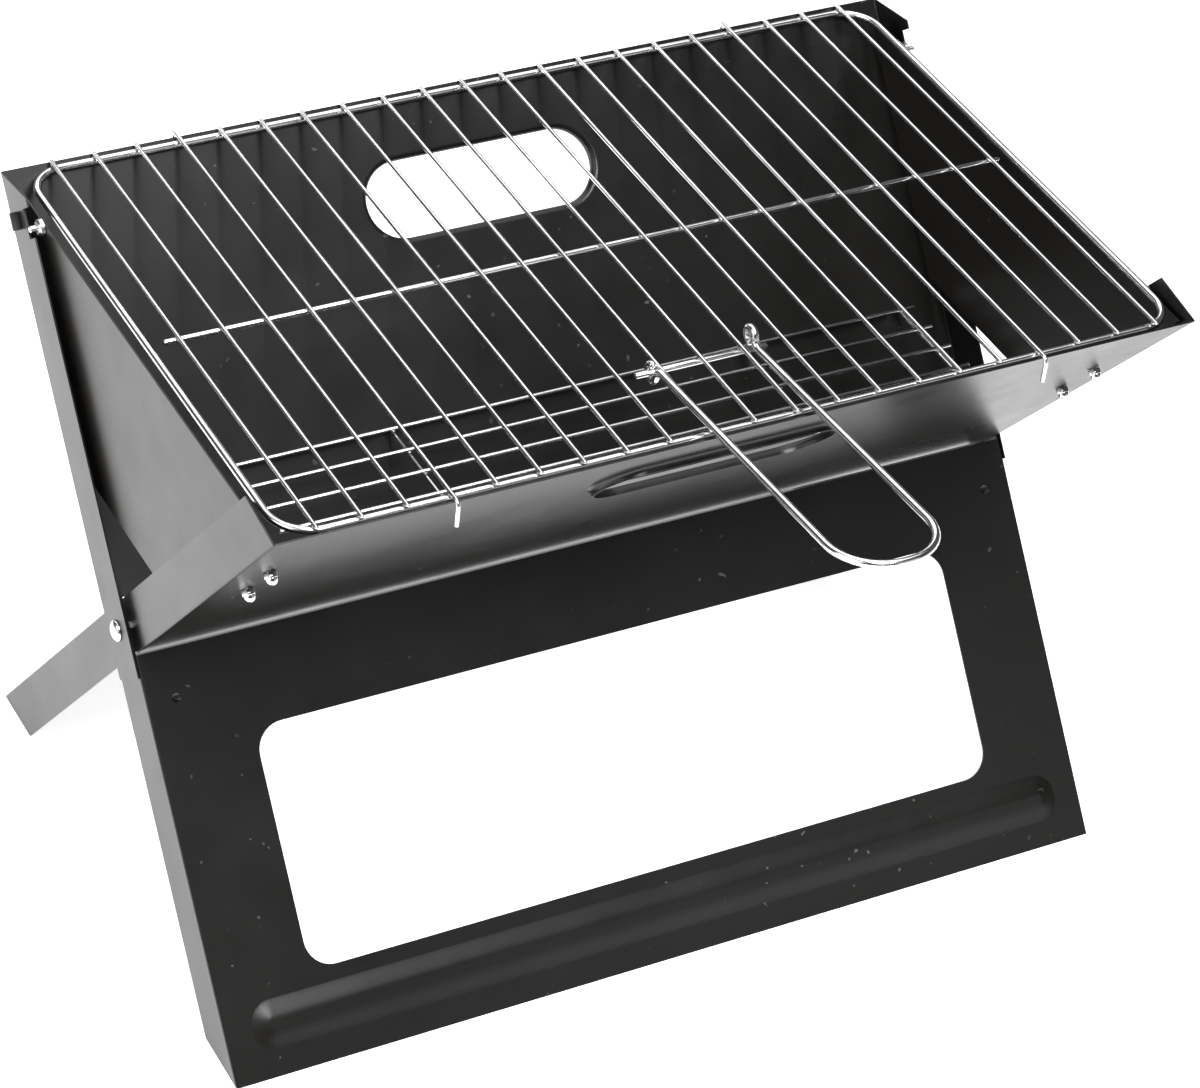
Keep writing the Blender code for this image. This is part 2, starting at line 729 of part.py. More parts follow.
clear_scene()
PARTS = new_collection("folding_camp_grill")
CUTTERS = new_collection("cutters")

pivot = (0.0, PIVOT_Y, PIVOT_HEIGHT)
rear_frame = add_frame("rear_panel_frame", pivot, LEAN - math.pi / 2)
front_frame = add_frame("front_panel_frame", pivot, math.pi / 2 - LEAN)
level_frame = add_frame("level_frame", pivot)
handle_frame = add_frame("handle_frame", (ROD_X, PIVOT_Y + ROD_Y, ROD_HEIGHT), -HANDLE_TILT)

rear_panel(rear_frame)
pivots(rear_frame)
front_panel(front_frame)
hinges(front_frame)
end_wings(front_frame)
grate(level_frame)
handle(handle_frame)
rack(level_frame)
CUTTERS.hide_render = True
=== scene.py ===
"""Looks of a folding camp grill: black enamelled sheet, bright plated wire, small fasteners.

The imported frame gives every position. Each operator builds one group of pieces in the
frame's own metres, and each panel is drawn in its own frame: origin on the side pivots,
+Z up along the panel, +Y towards its rear face.
"""

import json
import math

import bmesh
import bpy
from bpy.props import FloatProperty, FloatVectorProperty, IntProperty, PointerProperty
from mathutils import Matrix, Vector


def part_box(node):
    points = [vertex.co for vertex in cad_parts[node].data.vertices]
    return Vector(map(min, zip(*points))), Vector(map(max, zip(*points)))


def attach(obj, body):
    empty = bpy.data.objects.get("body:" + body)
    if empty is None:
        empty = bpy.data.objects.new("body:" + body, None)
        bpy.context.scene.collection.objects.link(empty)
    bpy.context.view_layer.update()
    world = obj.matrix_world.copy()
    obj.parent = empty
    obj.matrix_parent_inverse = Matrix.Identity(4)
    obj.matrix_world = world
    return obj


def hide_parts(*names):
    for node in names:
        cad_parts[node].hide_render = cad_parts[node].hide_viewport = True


bl_info = {
    "name": "Folding Camp Grill",
    "version": (1, 0, 0),
    "blender": (4, 5, 0),
    "location": "View3D > Sidebar > Camp Grill",
    "description": "Sheet, wire and fastener pieces of a folding camp grill",
    "category": "Object",
}

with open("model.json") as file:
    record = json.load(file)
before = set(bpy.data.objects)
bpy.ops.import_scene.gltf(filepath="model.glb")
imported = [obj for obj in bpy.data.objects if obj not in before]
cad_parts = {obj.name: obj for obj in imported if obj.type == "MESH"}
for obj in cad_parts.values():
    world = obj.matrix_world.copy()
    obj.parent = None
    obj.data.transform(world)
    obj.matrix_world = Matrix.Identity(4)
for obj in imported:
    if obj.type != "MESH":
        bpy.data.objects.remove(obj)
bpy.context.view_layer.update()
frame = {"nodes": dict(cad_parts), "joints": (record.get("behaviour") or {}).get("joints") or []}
JOINTS = {joint["name"]: joint for joint in frame["joints"]}

MM = 0.001
TINY = 0.00001
PIVOT = Vector(JOINTS["fold"]["pos_m"])
UP_FRONT_PANEL = Vector(JOINTS["left_wing_lift"]["axis"])
LEAN = math.atan2(UP_FRONT_PANEL.z, -UP_FRONT_PANEL.y)
REAR_FRAME = Matrix.Translation(PIVOT) @ Matrix.Rotation(LEAN - math.pi / 2, 4, "X")
FRONT_FRAME = Matrix.Translation(PIVOT) @ Matrix.Rotation(math.pi / 2 - LEAN, 4, "X")
SIDES = ((-1, "left"), (1, "right"))


def middle(node):
    low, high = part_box(node)
    return (low + high) / 2


def reach(node):
    """Half the size of a node's box."""
    low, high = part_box(node)
    return (high - low) / 2


# Sizes and colours that a user would change


class SheetSettings(bpy.types.PropertyGroup):
    thickness: FloatProperty(
        name="Sheet", description="Thickness of the panels", default=0.8 * MM, unit="LENGTH"
    )
    bend: FloatProperty(
        name="Bend", description="Outer radius of the folded edges", default=1.1 * MM, unit="LENGTH"
    )
    panel_half: FloatProperty(
        name="Half panel", description="From the pivot to a panel's end", default=206 * MM, unit="LENGTH"
    )
    strip_half: FloatProperty(
        name="Half strip", description="Half the depth of the side strips", default=13 * MM, unit="LENGTH"
    )
    strip_drop: FloatProperty(
        name="Strip drop", description="How far a strip's end slants down", default=15 * MM, unit="LENGTH"
    )
    lap: FloatProperty(
        name="Lap", description="How far strips run past the pivot", default=22 * MM, unit="LENGTH"
    )
    lip_half: FloatProperty(
        name="Half lip", description="Half the length of the lips", default=207 * MM, unit="LENGTH"
    )
    rolled: FloatProperty(
        name="Rolled edge", description="Radius round the hand holes", default=2.0 * MM, unit="LENGTH"
    )
    rib_height: FloatProperty(
        name="Rib height", description="How far the pressed rib stands out", default=1.9 * MM, unit="LENGTH"
    )
    colour: FloatVectorProperty(
        name="Enamel", description="Colour of the enamel", subtype="COLOR", default=(0.0048, 0.0042, 0.0036)
    )


class WireSettings(bpy.types.PropertyGroup):
    sides: IntProperty(name="Sides", description="Sides of a wire's section", default=14, min=6)
    corner: FloatProperty(
        name="Rim corner", description="Radius at the grate's corners", default=18 * MM, unit="LENGTH"
    )
    hook_bend: FloatProperty(
        name="Hook bend", description="Radius of the hooked bars' bends", default=3 * MM, unit="LENGTH"
    )
    handle_bend: FloatProperty(
        name="Handle bend", description="Radius of the handle's end", default=22 * MM, unit="LENGTH"
    )
    colour: FloatVectorProperty(
        name="Plating", description="Colour of the plated wire", subtype="COLOR", default=(0.86, 0.87, 0.88)
    )


class StageSettings(bpy.types.PropertyGroup):
    lens: FloatProperty(name="Lens", description="Focal length", default=128.2, subtype="DISTANCE_CAMERA")
    floor_half: FloatProperty(
        name="Half floor", description="Half the floor's length", default=14.0, unit="LENGTH"
    )
    floor_colour: FloatVectorProperty(
        name="Floor", description="Colour of the floor", subtype="COLOR", default=(0.94, 0.94, 0.94)
    )


# Materials


class Value:
    """A number socket in a material; arithmetic on it adds Math nodes."""

    def __init__(self, paint, socket):
        self.paint = paint
        self.socket = socket

    def math(self, operation, *others):
        values = {place: other for place, other in enumerate(others, start=1)}
        return self.paint.node("ShaderNodeMath", {"operation": operation}, {0: self, **values})

    def __add__(self, other):
        return self.math("ADD", other)

    def __sub__(self, other):
        return self.math("SUBTRACT", other)

    def __mul__(self, other):
        return self.math("MULTIPLY", other)

    def __truediv__(self, other):
        return self.math("DIVIDE", other)

    def __rsub__(self, other):
        return self.paint.node("ShaderNodeMath", {"operation": "SUBTRACT"}, {0: other, 1: self})

    def __neg__(self):
        return self * -1.0

    __radd__ = __add__
    __rmul__ = __mul__

    def power(self, exponent):
        return self.math("POWER", exponent)

    def above(self, edge, softness):
        """0 below the edge, 1 above it, with a soft step between."""
        settings = {"interpolation_type": "SMOOTHSTEP"}
        values = {"Value": self, "From Min": edge - softness, "From Max": edge + softness}
        return self.paint.node("ShaderNodeMapRange", settings, values, "Result")


class Paint:
    """A material under construction."""

    def __init__(self, name):
        self.material = bpy.data.materials.new(name)
        self.material.use_nodes = True
        self.tree = self.material.node_tree
        self.shader = self.tree.nodes["Principled BSDF"]
        self.place = self.node("ShaderNodeTexCoord", {}, {}, "Object")

    def node(self, kind, settings, values, output=0):
        made = self.tree.nodes.new(kind)
        for name, setting in settings.items():
            setattr(made, name, setting)
        for name, value in values.items():
            self.feed(made.inputs[name], value)
        return Value(self, made.outputs[output])

    def feed(self, socket, value):
        if isinstance(value, Value):
            self.tree.links.new(value.socket, socket)
        else:
            socket.default_value = value

    def noise(self, scale, detail=2.0, stretch=(1.0, 1.0, 1.0)):
        settings = {"vector_type": "POINT"}
        place = self.node("ShaderNodeMapping", settings, {"Vector": self.place, "Scale": stretch})
        values = {"Vector": place, "Scale": scale, "Detail": detail}
        return self.node("ShaderNodeTexNoise", {}, values, "Fac")

    def mix(self, factor, low, high):
        """Two colours mixed by a value."""
        colours = [(*c, 1.0) if isinstance(c, tuple) else c for c in (low, high)]
        values = {"Factor": factor, 6: colours[0], 7: colours[1]}
        return self.node("ShaderNodeMix", {"data_type": "RGBA"}, values, 2)

    def bump(self, height, strength, distance):
        values = {"Height": height, "Strength": strength, "Distance": distance}
        return self.node("ShaderNodeBump", {}, values, "Normal")

    def finish(self, **values):
        for name, value in values.items():
            self.feed(self.shader.inputs[name.replace("_", " ").title()], value)
        return self.material


def tint(colour, factor):
    return tuple(channel * factor for channel in colour)


def enamel(name, colour, roughness):
    """Baked black enamel: fine orange peel, broad differences in gloss and a little dust."""
    paint = Paint(name)
    peel = paint.noise(620.0, 3.0)
    cloud = paint.noise(9.0, 4.0)
    flow = paint.noise(46.0, 3.0)
    dust = paint.noise(240.0, 1.0).above(0.765, 0.012) * cloud.above(0.5, 0.1)
    shade = paint.mix(cloud, tint(colour, 0.8), tint(colour, 1.35))
    gloss = roughness + (cloud - 0.5) * 0.16 + (flow - 0.5) * 0.1 + dust * 0.3
    return paint.finish(
        Base_Color=paint.mix(dust * 0.3, shade, (0.28, 0.27, 0.26)),
        Roughness=gloss,
        Normal=paint.bump(peel + flow * 0.6, 0.16, 0.12 * MM),
    )


def plating(name, colour, roughness, stretch=(1.0, 1.0, 1.0)):
    """Bright plated wire: drawn streaks along it and a few duller patches."""
    paint = Paint(name)
    streak = paint.noise(260.0, 2.0, stretch)
    patch = paint.noise(38.0, 3.0)
    shade = paint.mix(patch.above(0.56, 0.12), colour, tint(colour, 0.72))
    return paint.finish(
        Base_Color=shade,
        Metallic=1.0,
        Roughness=roughness + (patch - 0.5) * 0.16 + (streak - 0.5) * 0.1,
        Normal=paint.bump(streak, 0.12, 0.06 * MM),
    )


def weld_metal():
    """The burnt, duller metal of the resistance welds."""
    paint = Paint("weld")
    scorch = paint.noise(900.0, 3.0)
    shade = paint.mix(scorch.above(0.5, 0.15), (0.36, 0.35, 0.34), (0.62, 0.62, 0.62))
    return paint.finish(
        Base_Color=shade, Metallic=1.0, Roughness=0.3 + scorch * 0.3, Normal=paint.bump(scorch, 0.3, 0.1 * MM)
    )


def pale_floor(colour):
    paint = Paint("pale_floor")
    cloud = paint.noise(1.2, 2.0)
    shade = paint.mix(cloud, tint(colour, 0.985), colour)
    # Painted light: the floor glows on its own, fully left of x = 0.3 m and fading to a dim glow to the right; the
    # glow lights the grill, softens its shadows on the floor and sets how bright the floor's reflections in the enamel
    # are.
    right = paint.node("ShaderNodeSeparateXYZ", {}, {"Vector": paint.place}, "X").above(0.3, 0.16)
    glow = paint.mix(right, shade, tint(colour, 0.3))
    return paint.finish(Base_Color=shade, Roughness=0.9, Emission_Color=glow, Emission_Strength=0.92)


# Shaping


def made_piece(name, bm, materials, body, nodes=()):
    """Turns a finished bmesh into a piece that rides on a body and stands for CAD nodes."""
    mesh = bpy.data.meshes.new(name)
    bm.to_mesh(mesh)
    bm.free()
    for material in materials:
        mesh.materials.append(material)
    item = bpy.data.objects.new(name, mesh)
    bpy.context.scene.collection.objects.link(item)
    mesh.shade_smooth()
    mesh.set_sharp_from_angle(angle=math.radians(38))
    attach(item, body)
    if nodes:
        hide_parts(*nodes)
    return item


def new_ones(result, kind):
    return [part for part in result["geom"] if isinstance(part, kind)]


def grow_edges(bm, edges, step):
    """Extrudes edges by a step and returns the new ones."""
    result = bmesh.ops.extrude_edge_only(bm, edges=edges)
    verts = new_ones(result, bmesh.types.BMVert)
    bmesh.ops.translate(bm, verts=verts, vec=step)
    fresh = set(verts)
    return [e for e in new_ones(result, bmesh.types.BMEdge) if fresh.issuperset(e.verts)]


def turn_edges(bm, edges, centre, axis, degrees, steps):
    """Spins edges about an axis and returns the last ones."""
    verts = list({vert for edge in edges for vert in edge.verts})
    result = bmesh.ops.spin(
        bm,
        geom=verts + list(edges),
        cent=centre,
        axis=axis,
        dvec=(0, 0, 0),
        angle=math.radians(degrees),
        steps=steps,
        use_merge=False,
        use_normal_flip=False,
        use_duplicate=False,
    )
    return [part for part in result["geom_last"] if isinstance(part, bmesh.types.BMEdge)]


def upright_face(bm, corners, y, rounding=0.0, segments=8):
    """A flat face from corners in X and Z, its corners rounded."""
    verts = [bm.verts.new((x, y, z)) for x, z in corners]
    face = bm.faces.new(verts)
    if rounding:
        result = bmesh.ops.bevel(
            bm,
            geom=verts,
            offset=rounding,
            offset_type="OFFSET",
            segments=segments,
            profile=0.5,
            affect="VERTICES",
            material=-1,
        )
        face = max({f for v in result["verts"] for f in v.link_faces}, key=lambda f: len(f.verts))
    return face


def box_corners(half_x, low, high):
    return [(-half_x, low), (half_x, low), (half_x, high), (-half_x, high)]


def round_steps(bm, face, radius, depth, steps):
    """Steps a face inwards and along its depth round a quarter circle."""
    across = 0.0
    down = 0.0
    for step in range(1, steps + 1):
        angle = math.pi / 2 * step / steps
        next_across = radius * math.sin(angle)
        next_down = depth * (1 - math.cos(angle))
        bmesh.ops.inset_region(
            bm,
            faces=[face],
            thickness=next_across - across,
            depth=next_down - down,
            use_even_offset=True,
            use_boundary=True,
        )
        across, down = next_across, next_down
    return face


def facing(face, y_sign):
    """Makes a face look along Y with the given sign."""
    face.normal_update()
    if face.normal.y * y_sign < 0:
        face.normal_flip()
    return face


class Panel:
    """One folded sheet, drawn as its outer surface in the panel's own frame."""

    def __init__(self, half, face_y, foot, top):
        self.sheet = bpy.context.scene.grill_sheet
        self.bm = bmesh.new()
        self.half = half
        self.face_y = face_y
        self.out = math.copysign(1.0, face_y)
        self.foot = foot
        self.top = top
        self.inset = self.sheet.bend

    def opening(self, half_x, low, high, rounding, rolled=0.0):
        """A hole through the face; a rolled edge turns outwards all round it."""
        face = upright_face(self.bm, box_corners(half_x, low, high), self.face_y, rounding, 10)
        facing(face, self.out)
        if rolled:
            round_steps(self.bm, face, rolled, rolled, 4)
            bmesh.ops.inset_region(self.bm, faces=[face], thickness=TINY, depth=1.2 * MM)
        bmesh.ops.delete(self.bm, geom=[face], context="FACES_ONLY")

    def pressing(self, centre, half_x, half_z, height, slope):
        """A pressed rib or dimple that stands out of the face by its height."""
        x, z = centre
        corners = [(x + a, z + b) for a, b in box_corners(half_x, -half_z, half_z)]
        face = upright_face(self.bm, corners, self.face_y, half_z * 0.9, 6)
        facing(face, self.out)
        for share, rise in ((0.08, 0.04), (0.2, 0.22), (0.24, 0.28), (0.24, 0.28), (0.24, 0.18)):
            bmesh.ops.inset_region(
                self.bm,
                faces=[face],
                thickness=slope * share,
                depth=height * rise,
                use_even_offset=True,
                use_boundary=True,
            )

    def face(self, foot_rise=0.0):
        """Fills the flat face round its openings and pressings."""
        side = self.half - self.inset
        lip = self.sheet.lip_half
        low = self.foot + foot_rise
        rims = [e for e in self.bm.edges if len(e.link_faces) < 2 and self.on_face(e)]
        outline = [(-side, low), (-lip, low), (lip, low), (side, low), (side, self.top), (-side, self.top)]
        verts = [self.bm.verts.new((x, self.face_y, z)) for x, z in outline]
        edges = [self.bm.edges.new(pair) for pair in zip(verts, verts[1:] + verts[:1])]
        self.side_edges = {1: [edges[3]], -1: [edges[5]]}
        self.lip_edge = edges[1]
        # The filler's tolerances suit large shapes, so it works on millimetres.
        bmesh.ops.scale(self.bm, vec=Vector((1, 1, 1)) / MM, verts=self.bm.verts)
        bmesh.ops.triangle_fill(self.bm, use_beauty=False, edges=edges + rims, normal=(0, self.out, 0))
        bmesh.ops.scale(self.bm, vec=Vector((MM, MM, MM)), verts=self.bm.verts)

    def on_face(self, edge):
        return all(abs(vert.co.y - self.face_y) < TINY for vert in edge.verts)

    def lip(self, depth):
        """Folds the foot inwards."""
        centre = (0, self.face_y - self.out * self.inset, self.foot + self.inset)
        edges = turn_edges(self.bm, [self.lip_edge], centre, (self.out, 0, 0), -90, 5)
        grow_edges(self.bm, edges, (0, -self.out * (depth - self.inset), 0))

    def strips(self, far_y, breaks=(), notch=None):
        """Folds both sides inwards to a depth; a notch leaves its rows shorter."""
        for side in (-1, 1):
            centre = (side * (self.half - self.inset), self.face_y - self.out * self.inset, 0)
            axis = (0, 0, -side * self.out)
            edges = turn_edges(self.bm, self.side_edges[side], centre, axis, 90, 5)
            near = self.face_y - self.out * self.inset
            if notch is None:
                grow_edges(self.bm, edges, (0, far_y - near, 0))
                continue
            foot, top, depth_y = notch
            edges = grow_edges(self.bm, edges, (0, depth_y - near, 0))
            for height in (foot, top):
                hold = [e for e in self.bm.edges if self.on_edge(e, side, depth_y)]
                geom = hold + [v for e in hold for v in e.verts]
                faces = list({f for e in hold for f in e.link_faces})
                bmesh.ops.bisect_plane(
                    self.bm, geom=list(set(geom)) + faces, dist=TINY, plane_co=(0, 0, height), plane_no=(0, 0, 1)
                )
            hold = [e for e in self.bm.edges if self.on_edge(e, side, depth_y)]
            deep = [e for e in hold if not foot < (e.verts[0].co.z + e.verts[1].co.z) / 2 < top]
            grow_edges(self.bm, deep, (0, far_y - depth_y, 0))

    def on_edge(self, edge, side, y):
        return all(
            abs(vert.co.x - side * self.half) < TINY and abs(vert.co.y - y) < TINY for vert in edge.verts
        )

    def lap(self, start, end, clear_y=None):
        """Runs the strips on past the face's end, a little shallower there."""
        for side in (-1, 1):
            edges = [
                e
                for e in self.bm.edges
                if all(
                    abs(v.co.x - side * self.half) < TINY and abs(v.co.z - start) < TINY for v in e.verts
                )
            ]
            for edge in grow_edges(self.bm, edges, (0, 0, end - start)):
                for vert in edge.verts:
                    if clear_y is not None and vert.co.y * -self.out > clear_y:
                        vert.co.y = -self.out * clear_y

    def trim(self, place, normal):
        """Cuts away what lies beyond a plane."""
        geom = self.bm.verts[:] + self.bm.edges[:] + self.bm.faces[:]
        bmesh.ops.bisect_plane(
            self.bm, geom=geom, dist=TINY / 10, plane_co=place, plane_no=normal, clear_outer=True
        )

    def slant_top(self):
        drop = self.sheet.strip_drop
        depth = 2 * self.sheet.strip_half
        self.trim((0, self.face_y, self.top), (0, -self.out * drop, depth))

    def level_foot(self, panel_frame):
        """Cuts the strips level where they stand on the ground."""
        inverse = panel_frame.inverted()
        ground = inverse @ Vector((0, 0, 0))
        down = inverse.to_3x3() @ Vector((0, 0, -1))
        self.trim(ground, down)

    def tabs(self, y, z, reach_out, length):
        """A small square tab pressed out of each strip."""
        for side in (-1, 1):
            centre = (side * (self.half + reach_out / 2 - 0.4 * MM), y, z)
            size = (reach_out, 1.2 * MM, length)
            place = Matrix.Translation(centre) @ Matrix.Diagonal((*size, 1))
            bmesh.ops.create_cube(self.bm, size=1.0, matrix=place)

    def piece(self, name, panel_frame, body, material):
        bm = self.bm
        bmesh.ops.remove_doubles(bm, verts=bm.verts, dist=TINY)
        bmesh.ops.recalc_face_normals(bm, faces=bm.faces)
        flat = max(bm.faces, key=lambda f: f.calc_area())
        if flat.normal.y * self.out < 0:
            bmesh.ops.reverse_faces(bm, faces=bm.faces)
        bmesh.ops.transform(bm, matrix=panel_frame, verts=bm.verts)
        item = made_piece(name, bm, [material], body, [name.removesuffix("_sheet")])
        wall = item.modifiers.new("Sheet", "SOLIDIFY")
        wall.thickness = self.sheet.thickness
        wall.offset = -1.0
        edge = item.modifiers.new("Cut edges", "BEVEL")
        edge.width = 0.12 * MM
        edge.segments = 1
        edge.limit_method = "ANGLE"
        edge.angle_limit = math.radians(60)
        shade = item.modifiers.new("Flat faces", "WEIGHTED_NORMAL")
        shade.keep_sharp = True
        return item


class Wire:
    """A wire bent as on a bench: straight runs and bends follow one another."""

    def __init__(self, start, along, radius, bm=None):
        self.bm = bm or bmesh.new()
        self.at = Vector(start)
        self.along = Vector(along).normalized()
        self.radius = radius
        turn = Vector((0, 0, 1)).rotation_difference(self.along).to_matrix().to_4x4()
        result = bmesh.ops.create_circle(
            self.bm,
            segments=bpy.context.scene.grill_wire.sides,
            radius=radius,
            matrix=Matrix.Translation(self.at) @ turn,
        )
        verts = set(result["verts"])
        self.ring = [e for e in self.bm.edges if verts.issuperset(e.verts)]
        self.first = (list(self.ring), self.at.copy(), -self.along)

    def run(self, length):
        self.ring = grow_edges(self.bm, self.ring, self.along * length)
        self.at += self.along * length
        return self

    def bend(self, radius, degrees, hinge, steps=8):
        hinge = Vector(hinge)
        centre = self.at + hinge.cross(self.along) * math.copysign(radius, degrees)
        self.ring = turn_edges(self.bm, self.ring, centre, hinge, degrees, steps)
        turn = Matrix.Rotation(math.radians(degrees), 3, hinge)
        self.at = centre + turn @ (self.at - centre)
        self.along = turn @ self.along
        return self

    def ends(self):
        """Rounds and closes both ends."""
        for ring, at, outward in (self.first, (self.ring, self.at, self.along)):
            for share, rise in ((0.9, 0.25), (0.62, 0.22), (0.25, 0.1)):
                ring = grow_edges(self.bm, ring, outward * self.radius * rise)
                verts = list({v for e in ring for v in e.verts})
                centre = sum((v.co for v in verts), Vector()) / len(verts)
                now = (verts[0].co - centre).length
                for vert in verts:
                    vert.co = centre + (vert.co - centre) * (self.radius * share / now)
            bmesh.ops.edgeloop_fill(self.bm, edges=ring)
        return self

    def join_ends(self):
        bmesh.ops.remove_doubles(self.bm, verts=self.bm.verts, dist=0.05 * MM)
        return self


def blob(bm, place, size, material_index=1):
    """A small rounded weld."""
    result = bmesh.ops.create_icosphere(
        bm, subdivisions=2, radius=1.0, matrix=Matrix.Translation(place) @ Matrix.Diagonal((*size, 1))
    )
    for face in {f for v in result["verts"] for f in v.link_faces}:
        face.material_index = material_index


def turned(bm, profile, place, axis, steps=24):
    """A profile of radius and height turned about an axis through a place."""
    turn = Vector((0, 0, 1)).rotation_difference(Vector(axis)).to_matrix().to_4x4()
    verts = [bm.verts.new((radius, 0, height)) for radius, height in profile]
    edges = [bm.edges.new(pair) for pair in zip(verts, verts[1:])]
    before = set(bm.verts) - set(verts)
    bmesh.ops.spin(
        bm,
        geom=verts + edges,
        cent=(0, 0, 0),
        axis=(0, 0, 1),
        dvec=(0, 0, 0),
        angle=math.tau,
        steps=steps,
        use_merge=True,
        use_normal_flip=False,
        use_duplicate=False,
    )
    fresh = [v for v in bm.verts if v not in before]
    bmesh.ops.remove_doubles(bm, verts=fresh, dist=TINY)
    fresh = [v for v in bm.verts if v not in before]
    bmesh.ops.transform(bm, matrix=Matrix.Translation(place) @ turn, verts=fresh)


def outward(bm):
    bmesh.ops.recalc_face_normals(bm, faces=bm.faces)
    return bm


def dress(node, material):
    """A finish for a CAD node that is shown as it is."""
    mesh = frame["nodes"][node].data
    mesh.materials.clear()
    mesh.materials.append(material)


# Operators


class GRILL_OT_panels(bpy.types.Operator):
    """Builds the four folded sheets: two walls and two leg frames"""

    bl_idname = "grill.panels"
    bl_label = "Panels"

    def execute(self, context):
        sheet = context.scene.grill_sheet
        depth = sheet.strip_half
        black = enamel("black_enamel", tuple(sheet.colour), 0.31)
        hole = (60 * MM, 138 * MM, 179 * MM, 20.4 * MM)
        clear = depth - 1.6 * MM
        halves = {
            node: reach(node).x
            for node in ("rear_wall", "front_leg_frame", "front_wall", "rear_leg_frame")
        }
        tab_reach = 4 * MM

        wall = Panel(halves["rear_wall"] - tab_reach, depth, 12 * MM, sheet.panel_half)
        wall.opening(*hole, rolled=sheet.rolled)
        wall.face(foot_rise=sheet.bend)
        wall.lip(22 * MM)
        wall.strips(-depth, notch=(173.5 * MM, 187 * MM, -depth + 6.5 * MM))
        wall.lap(12 * MM + sheet.bend, -sheet.lap)
        wall.slant_top()
        wall.tabs(2.6 * MM, 183 * MM, tab_reach, 8 * MM)
        wall.piece("rear_wall_sheet", REAR_FRAME, "rear_panel", black)

        legs = Panel(halves["front_leg_frame"], -depth, -sheet.panel_half, -12 * MM)
        self.leg_openings(legs, depth, clear)
        legs.level_foot(REAR_FRAME)
        legs.piece("front_leg_frame_sheet", REAR_FRAME, "rear_panel", black)

        wall = Panel(halves["front_wall"], -depth, 6 * MM, sheet.panel_half)
        wall.opening(*hole, rolled=sheet.rolled)
        wall.face(foot_rise=sheet.bend)
        wall.lip(14 * MM)
        wall.strips(depth - 1.3 * MM)
        wall.lap(6 * MM + sheet.bend, -sheet.lap)
        wall.slant_top()
        wall.piece("front_wall_sheet", FRONT_FRAME, "front_panel", black)

        legs = Panel(halves["rear_leg_frame"], depth, -sheet.panel_half, -12 * MM)
        self.leg_openings(legs, depth - 1.3 * MM, clear)
        legs.level_foot(FRONT_FRAME)
        legs.piece("rear_leg_frame_sheet", FRONT_FRAME, "front_panel", black)
        return {"FINISHED"}

    def leg_openings(self, legs, far, clear):
        """The window, the pressed rib below it, two dimples, the strips and their laps."""
        legs.opening(176.5 * MM, -165 * MM, -55 * MM, 13 * MM)
        legs.pressing((0, -183 * MM), 209 * MM, 11.5 * MM, legs.sheet.rib_height, 9.6 * MM)
        for side in (-1, 1):
            legs.pressing((side * 208 * MM, -34 * MM), 2.2 * MM, 2.2 * MM, -0.7 * MM, 1.3 * MM)
        legs.face()
        legs.strips(-legs.out * far)
        legs.lap(legs.top, legs.sheet.lap, clear)


class GRILL_OT_wings(bpy.types.Operator):
    """Finishes the end wings and their hinges, and builds the wings' latch studs"""

    bl_idname = "grill.wings"
    bl_label = "Wings"

    def execute(self, context):
        # Painted light: the wings and hinge leaves take a copy of the panels' black enamel made 2.6 times lighter.
        black = enamel("wing_enamel_painted_lighter", tint(tuple(context.scene.grill_sheet.colour), 2.6), 0.36)
        zinc = plating("zinc_pins", (0.78, 0.78, 0.79), 0.28)
        for side, name in SIDES:
            for node in (f"wing_{name}", f"hinge_leaf_{name}"):
                dress(node, black)
            dress(f"hinge_pin_{name}", zinc)
            self.stud(side, name, zinc)
        return {"FINISHED"}

    def stud(self, side, name, zinc):
        """A round stud's outer end with a chamfered tip, and a plain round nut outside."""
        low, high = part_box(f"wing_nut_{name}")
        centre = middle(f"wing_nut_{name}")
        face = low.x if side > 0 else high.x
        thick = high.x - low.x
        tip = max(abs(x.x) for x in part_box(f"wing_stud_{name}")) - abs(face)
        bm = bmesh.new()
        profile = [(0, tip), (1.1 * MM, tip), (1.5 * MM, tip - 0.4 * MM), (1.5 * MM, 0), (0, 0)]
        turned(bm, profile, (face, centre.y, centre.z), (side, 0, 0), 16)
        made_piece(f"wing_stud_{name}_end", outward(bm), [zinc], f"{name}_wing", [f"wing_stud_{name}"])
        bm = bmesh.new()
        radius = 3.9 * MM
        profile = [(0, thick), (radius - 1.1 * MM, thick), (radius, thick - 0.9 * MM), (radius, 0), (0, 0)]
        turned(bm, profile, (face, centre.y, centre.z), (side, 0, 0), 24)
        made_piece(f"wing_nut_{name}_cap", outward(bm), [zinc], f"{name}_wing", [f"wing_nut_{name}"])


